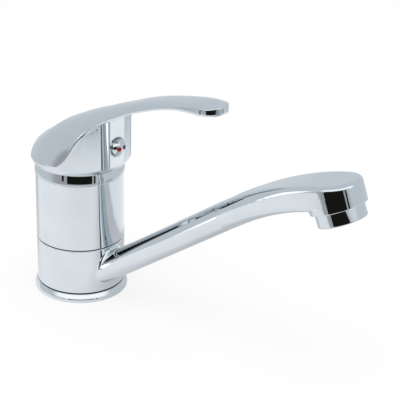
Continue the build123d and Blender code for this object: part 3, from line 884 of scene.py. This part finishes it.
@dataclass
class Studio:
    """White table, pale walls, one broad light and the camera.

    Attributes:
        camera_at: place of the camera.
        camera_right: direction of the picture's right side.
        camera_up: direction of the picture's top.
        lens: focal length in millimetres.
        sensor: width of the camera's sensor in millimetres.
        sight: how far the camera sees.
        floor_half: half width of the floor.
        table_r: radius of the white table that the metal mirrors.
        wall: colour of the room's walls.
        table: colour of the table.
        table_edge: share of the radius over which the table's edge fades, to each side.
        light_side: (place, strength) of the painted light on the table's lighter side, across the tap.
        dim_side: (place, strength) of the painted light on its dimmer side.
        shade_in: where the painted shadow of the spout on the table begins and is full, from front to
            back.
        shade_out: where that painted shadow fades again and ends.
        shade: strength of the table in that painted shadow.
        floor_tone: grey of the floor, which takes the shadow.
        floor_glow: share of plain white in the floor that the camera sees.
        lamp_at: place of the lamp.
        lamp_lean: its lean about X and Y, in degrees.
        lamp_d: its diameter.
        lamp_watts: its power.
    """

    camera_at: Vector = field(default_factory=lambda: Vector((0.44348, -0.461793, 0.342451)))
    camera_right: Vector = field(default_factory=lambda: Vector((0.78013, 0.62504, 0.02686)))
    camera_up: Vector = field(default_factory=lambda: Vector((-0.27854, 0.30857, 0.90950)))
    lens: float = 115.70
    sensor: float = 36.0
    sight: float = 50.0
    floor_half: float = 6.0
    table_r: float = 0.19
    wall: Colour = (0.70, 0.745, 0.795)
    table: Colour = (0.985, 1.0, 1.03)
    table_edge: float = 0.1
    light_side: tuple[float, float] = (-0.06, 1.10)
    dim_side: tuple[float, float] = (0.16, 0.99)
    shade_in: tuple[float, float] = (-0.035, 0.012)
    shade_out: tuple[float, float] = (0.055, 0.09)
    shade: float = 0.66
    floor_tone: float = 0.86
    floor_glow: float = 0.78
    lamp_at: tuple[float, float, float] = (0.1, -0.3, 1.2)
    lamp_lean: tuple[float, float] = (14.0, 4.0)
    lamp_d: float = 0.9
    lamp_watts: float = 4.0

    def camera(self) -> None:
        """Stand the camera where the picture was taken."""
        data = bpy.data.cameras.new("camera")
        data.lens = self.lens
        data.sensor_width = self.sensor
        data.clip_end = self.sight
        right = self.camera_right.normalized()
        up = self.camera_up - right * self.camera_up.dot(right)
        up.normalize()
        turn = Matrix((right, up, right.cross(up))).transposed()
        eye = bpy.data.objects.new("camera", data)
        eye.matrix_world = Matrix.Translation(self.camera_at) @ turn.to_4x4()
        bpy.context.scene.collection.objects.link(eye)
        bpy.context.scene.camera = eye

    def floor(self) -> None:
        """Lay the white floor, which keeps a faint shadow."""
        mesh = bpy.data.meshes.new("floor")
        shape = bmesh.new()
        bmesh.ops.create_grid(shape, x_segments=1, y_segments=1, size=self.floor_half)
        shape.to_mesh(mesh)
        shape.free()
        floor = bpy.data.objects.new("floor", mesh)
        bpy.context.scene.collection.objects.link(floor)
        mesh.materials.append(self.floor_material())

    def floor_material(self) -> bpy.types.Material:
        """White for the camera, a round white table for the metal, with painted light and a painted shadow
        of the spout on it.

        Returns:
            The material.
        """
        material = bpy.data.materials.new("floor")
        material.use_nodes = True
        bench = NodeBench(material.node_tree)
        nodes = material.node_tree.nodes
        nodes.remove(nodes["Principled BSDF"])
        matt = bench.add("ShaderNodeBsdfDiffuse")
        matt.inputs["Color"].default_value = (*[self.floor_tone] * 3, 1.0)
        glow = bench.add("ShaderNodeEmission")
        glow.inputs["Strength"].default_value = 1.0
        seen = bench.add("ShaderNodeMixShader")
        seen.inputs["Fac"].default_value = self.floor_glow
        bench.join(matt.outputs[0], seen.inputs[1])
        bench.join(glow.outputs[0], seen.inputs[2])
        path = bench.add("ShaderNodeLightPath")
        place = bench.add("ShaderNodeTexCoord")
        flat = bench.add("ShaderNodeVectorMath", operation="LENGTH")
        bench.join(place.outputs["Object"], flat.inputs[0])
        fade = self.table_edge * self.table_r
        beyond = bench.ramp(flat.outputs["Value"], self.table_r - fade, self.table_r + fade)
        sides = bench.add("ShaderNodeSeparateXYZ")
        bench.join(place.outputs["Object"], sides.inputs[0])
        # Painted light and painted shadow on the mirrored table: brighter on one side, dimmer on the
        # other, and darker in a stripe under the spout.
        places, strengths = zip(self.light_side, self.dim_side)
        across = bench.ramp(sides.outputs[0], *places, *strengths)
        shade = bench.ramp(sides.outputs[1], *self.shade_in, 1.0, self.shade)
        shade = bench.maths("MAXIMUM", shade, bench.ramp(sides.outputs[1], *self.shade_out))
        table = bench.add("ShaderNodeEmission")
        table.inputs["Color"].default_value = (*self.table, 1.0)
        bench.join(bench.maths("MULTIPLY", across, shade), table.inputs["Strength"])
        clear = bench.add("ShaderNodeBsdfTransparent")
        mirrored = bench.add("ShaderNodeMixShader")
        bench.join(beyond, mirrored.inputs["Fac"])
        bench.join(table.outputs[0], mirrored.inputs[1])
        bench.join(clear.outputs[0], mirrored.inputs[2])
        whole = bench.add("ShaderNodeMixShader")
        bench.join(path.outputs["Is Glossy Ray"], whole.inputs["Fac"])
        lit = bench.add("ShaderNodeMixShader")
        direct = bench.maths("MAXIMUM", path.outputs["Is Camera Ray"], path.outputs["Is Transmission Ray"])
        bench.join(direct, lit.inputs["Fac"])
        bench.join(matt.outputs[0], lit.inputs[1])
        bench.join(seen.outputs[0], lit.inputs[2])
        bench.join(lit.outputs[0], whole.inputs[1])
        bench.join(mirrored.outputs[0], whole.inputs[2])
        bench.join(whole.outputs[0], nodes["Material Output"].inputs["Surface"])
        return material

    def walls(self) -> None:
        """Surround the table with pale walls, one broad light and the dark side of the room."""
        world = bpy.data.worlds.new("studio")
        bpy.context.scene.world = world
        world.use_nodes = True
        bench = NodeBench(world.node_tree)
        nodes = world.node_tree.nodes
        place = bench.add("ShaderNodeTexCoord")
        parts = bench.add("ShaderNodeSeparateXYZ")
        bench.join(place.outputs["Generated"], parts.inputs[0])
        x, y, z = parts.outputs
        turn = bench.maths("DEGREES", bench.maths("ARCTAN2", y, x))
        rise = bench.maths("DEGREES", bench.maths("ARCSINE", z))
        colour: Colour | Socket = self.wall
        for band in ROOM:
            start = bench.ramp(rise, band.low - band.low_soft, band.low + band.low_soft)
            end = bench.ramp(rise, band.high - band.high_soft, band.high + band.high_soft, 1.0, 0.0)
            share = bench.maths("MULTIPLY", start, end)
            if band.left is not None:
                start = bench.ramp(turn, band.left - band.side_soft, band.left + band.side_soft)
                end = bench.ramp(turn, band.right - band.side_soft, band.right + band.side_soft, 1.0, 0.0)
                share = bench.maths("MULTIPLY", share, bench.maths("MULTIPLY", start, end))
            colour = bench.mix(share, colour, band.colour)
        path = bench.add("ShaderNodeLightPath")
        plain = bench.maths("MAXIMUM", path.outputs["Is Camera Ray"], path.outputs["Is Diffuse Ray"])
        plain = bench.maths("MAXIMUM", plain, path.outputs["Is Transmission Ray"])
        colour = bench.mix(plain, colour, (1.0, 1.0, 1.0))
        bench.join(colour, nodes["Background"].inputs["Color"])
        nodes["Background"].inputs["Strength"].default_value = 1.0

    def lamp(self) -> None:
        """Hang one broad soft lamp for the shadow on the floor."""
        data = bpy.data.lights.new("softbox", "AREA")
        data.shape = "DISK"
        data.size = self.lamp_d
        data.energy = self.lamp_watts
        lamp = bpy.data.objects.new("softbox", data)
        lamp.location = self.lamp_at
        lamp.rotation_euler = (*map(math.radians, self.lamp_lean), 0.0)
        lamp.visible_glossy = False
        bpy.context.scene.collection.objects.link(lamp)

    def build(self) -> None:
        """Set the whole studio."""
        self.camera()
        self.floor()
        self.walls()
        self.lamp()
        for place, screen in enumerate(SCREENS):
            screen.build(f"screen_{place}")
        bpy.context.scene.view_settings.view_transform = "Standard"


def main() -> None:
    """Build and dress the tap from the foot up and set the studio."""
    logging.basicConfig(level=logging.INFO, format="%(message)s")
    wardrobe = Wardrobe()
    for kind in (Foot, Column, Cartridge, Lever, Spout, Aerator):
        part = kind(wardrobe)
        part.build()
        part.dress()
    Studio().build()


if __name__ == "__main__":
    main()
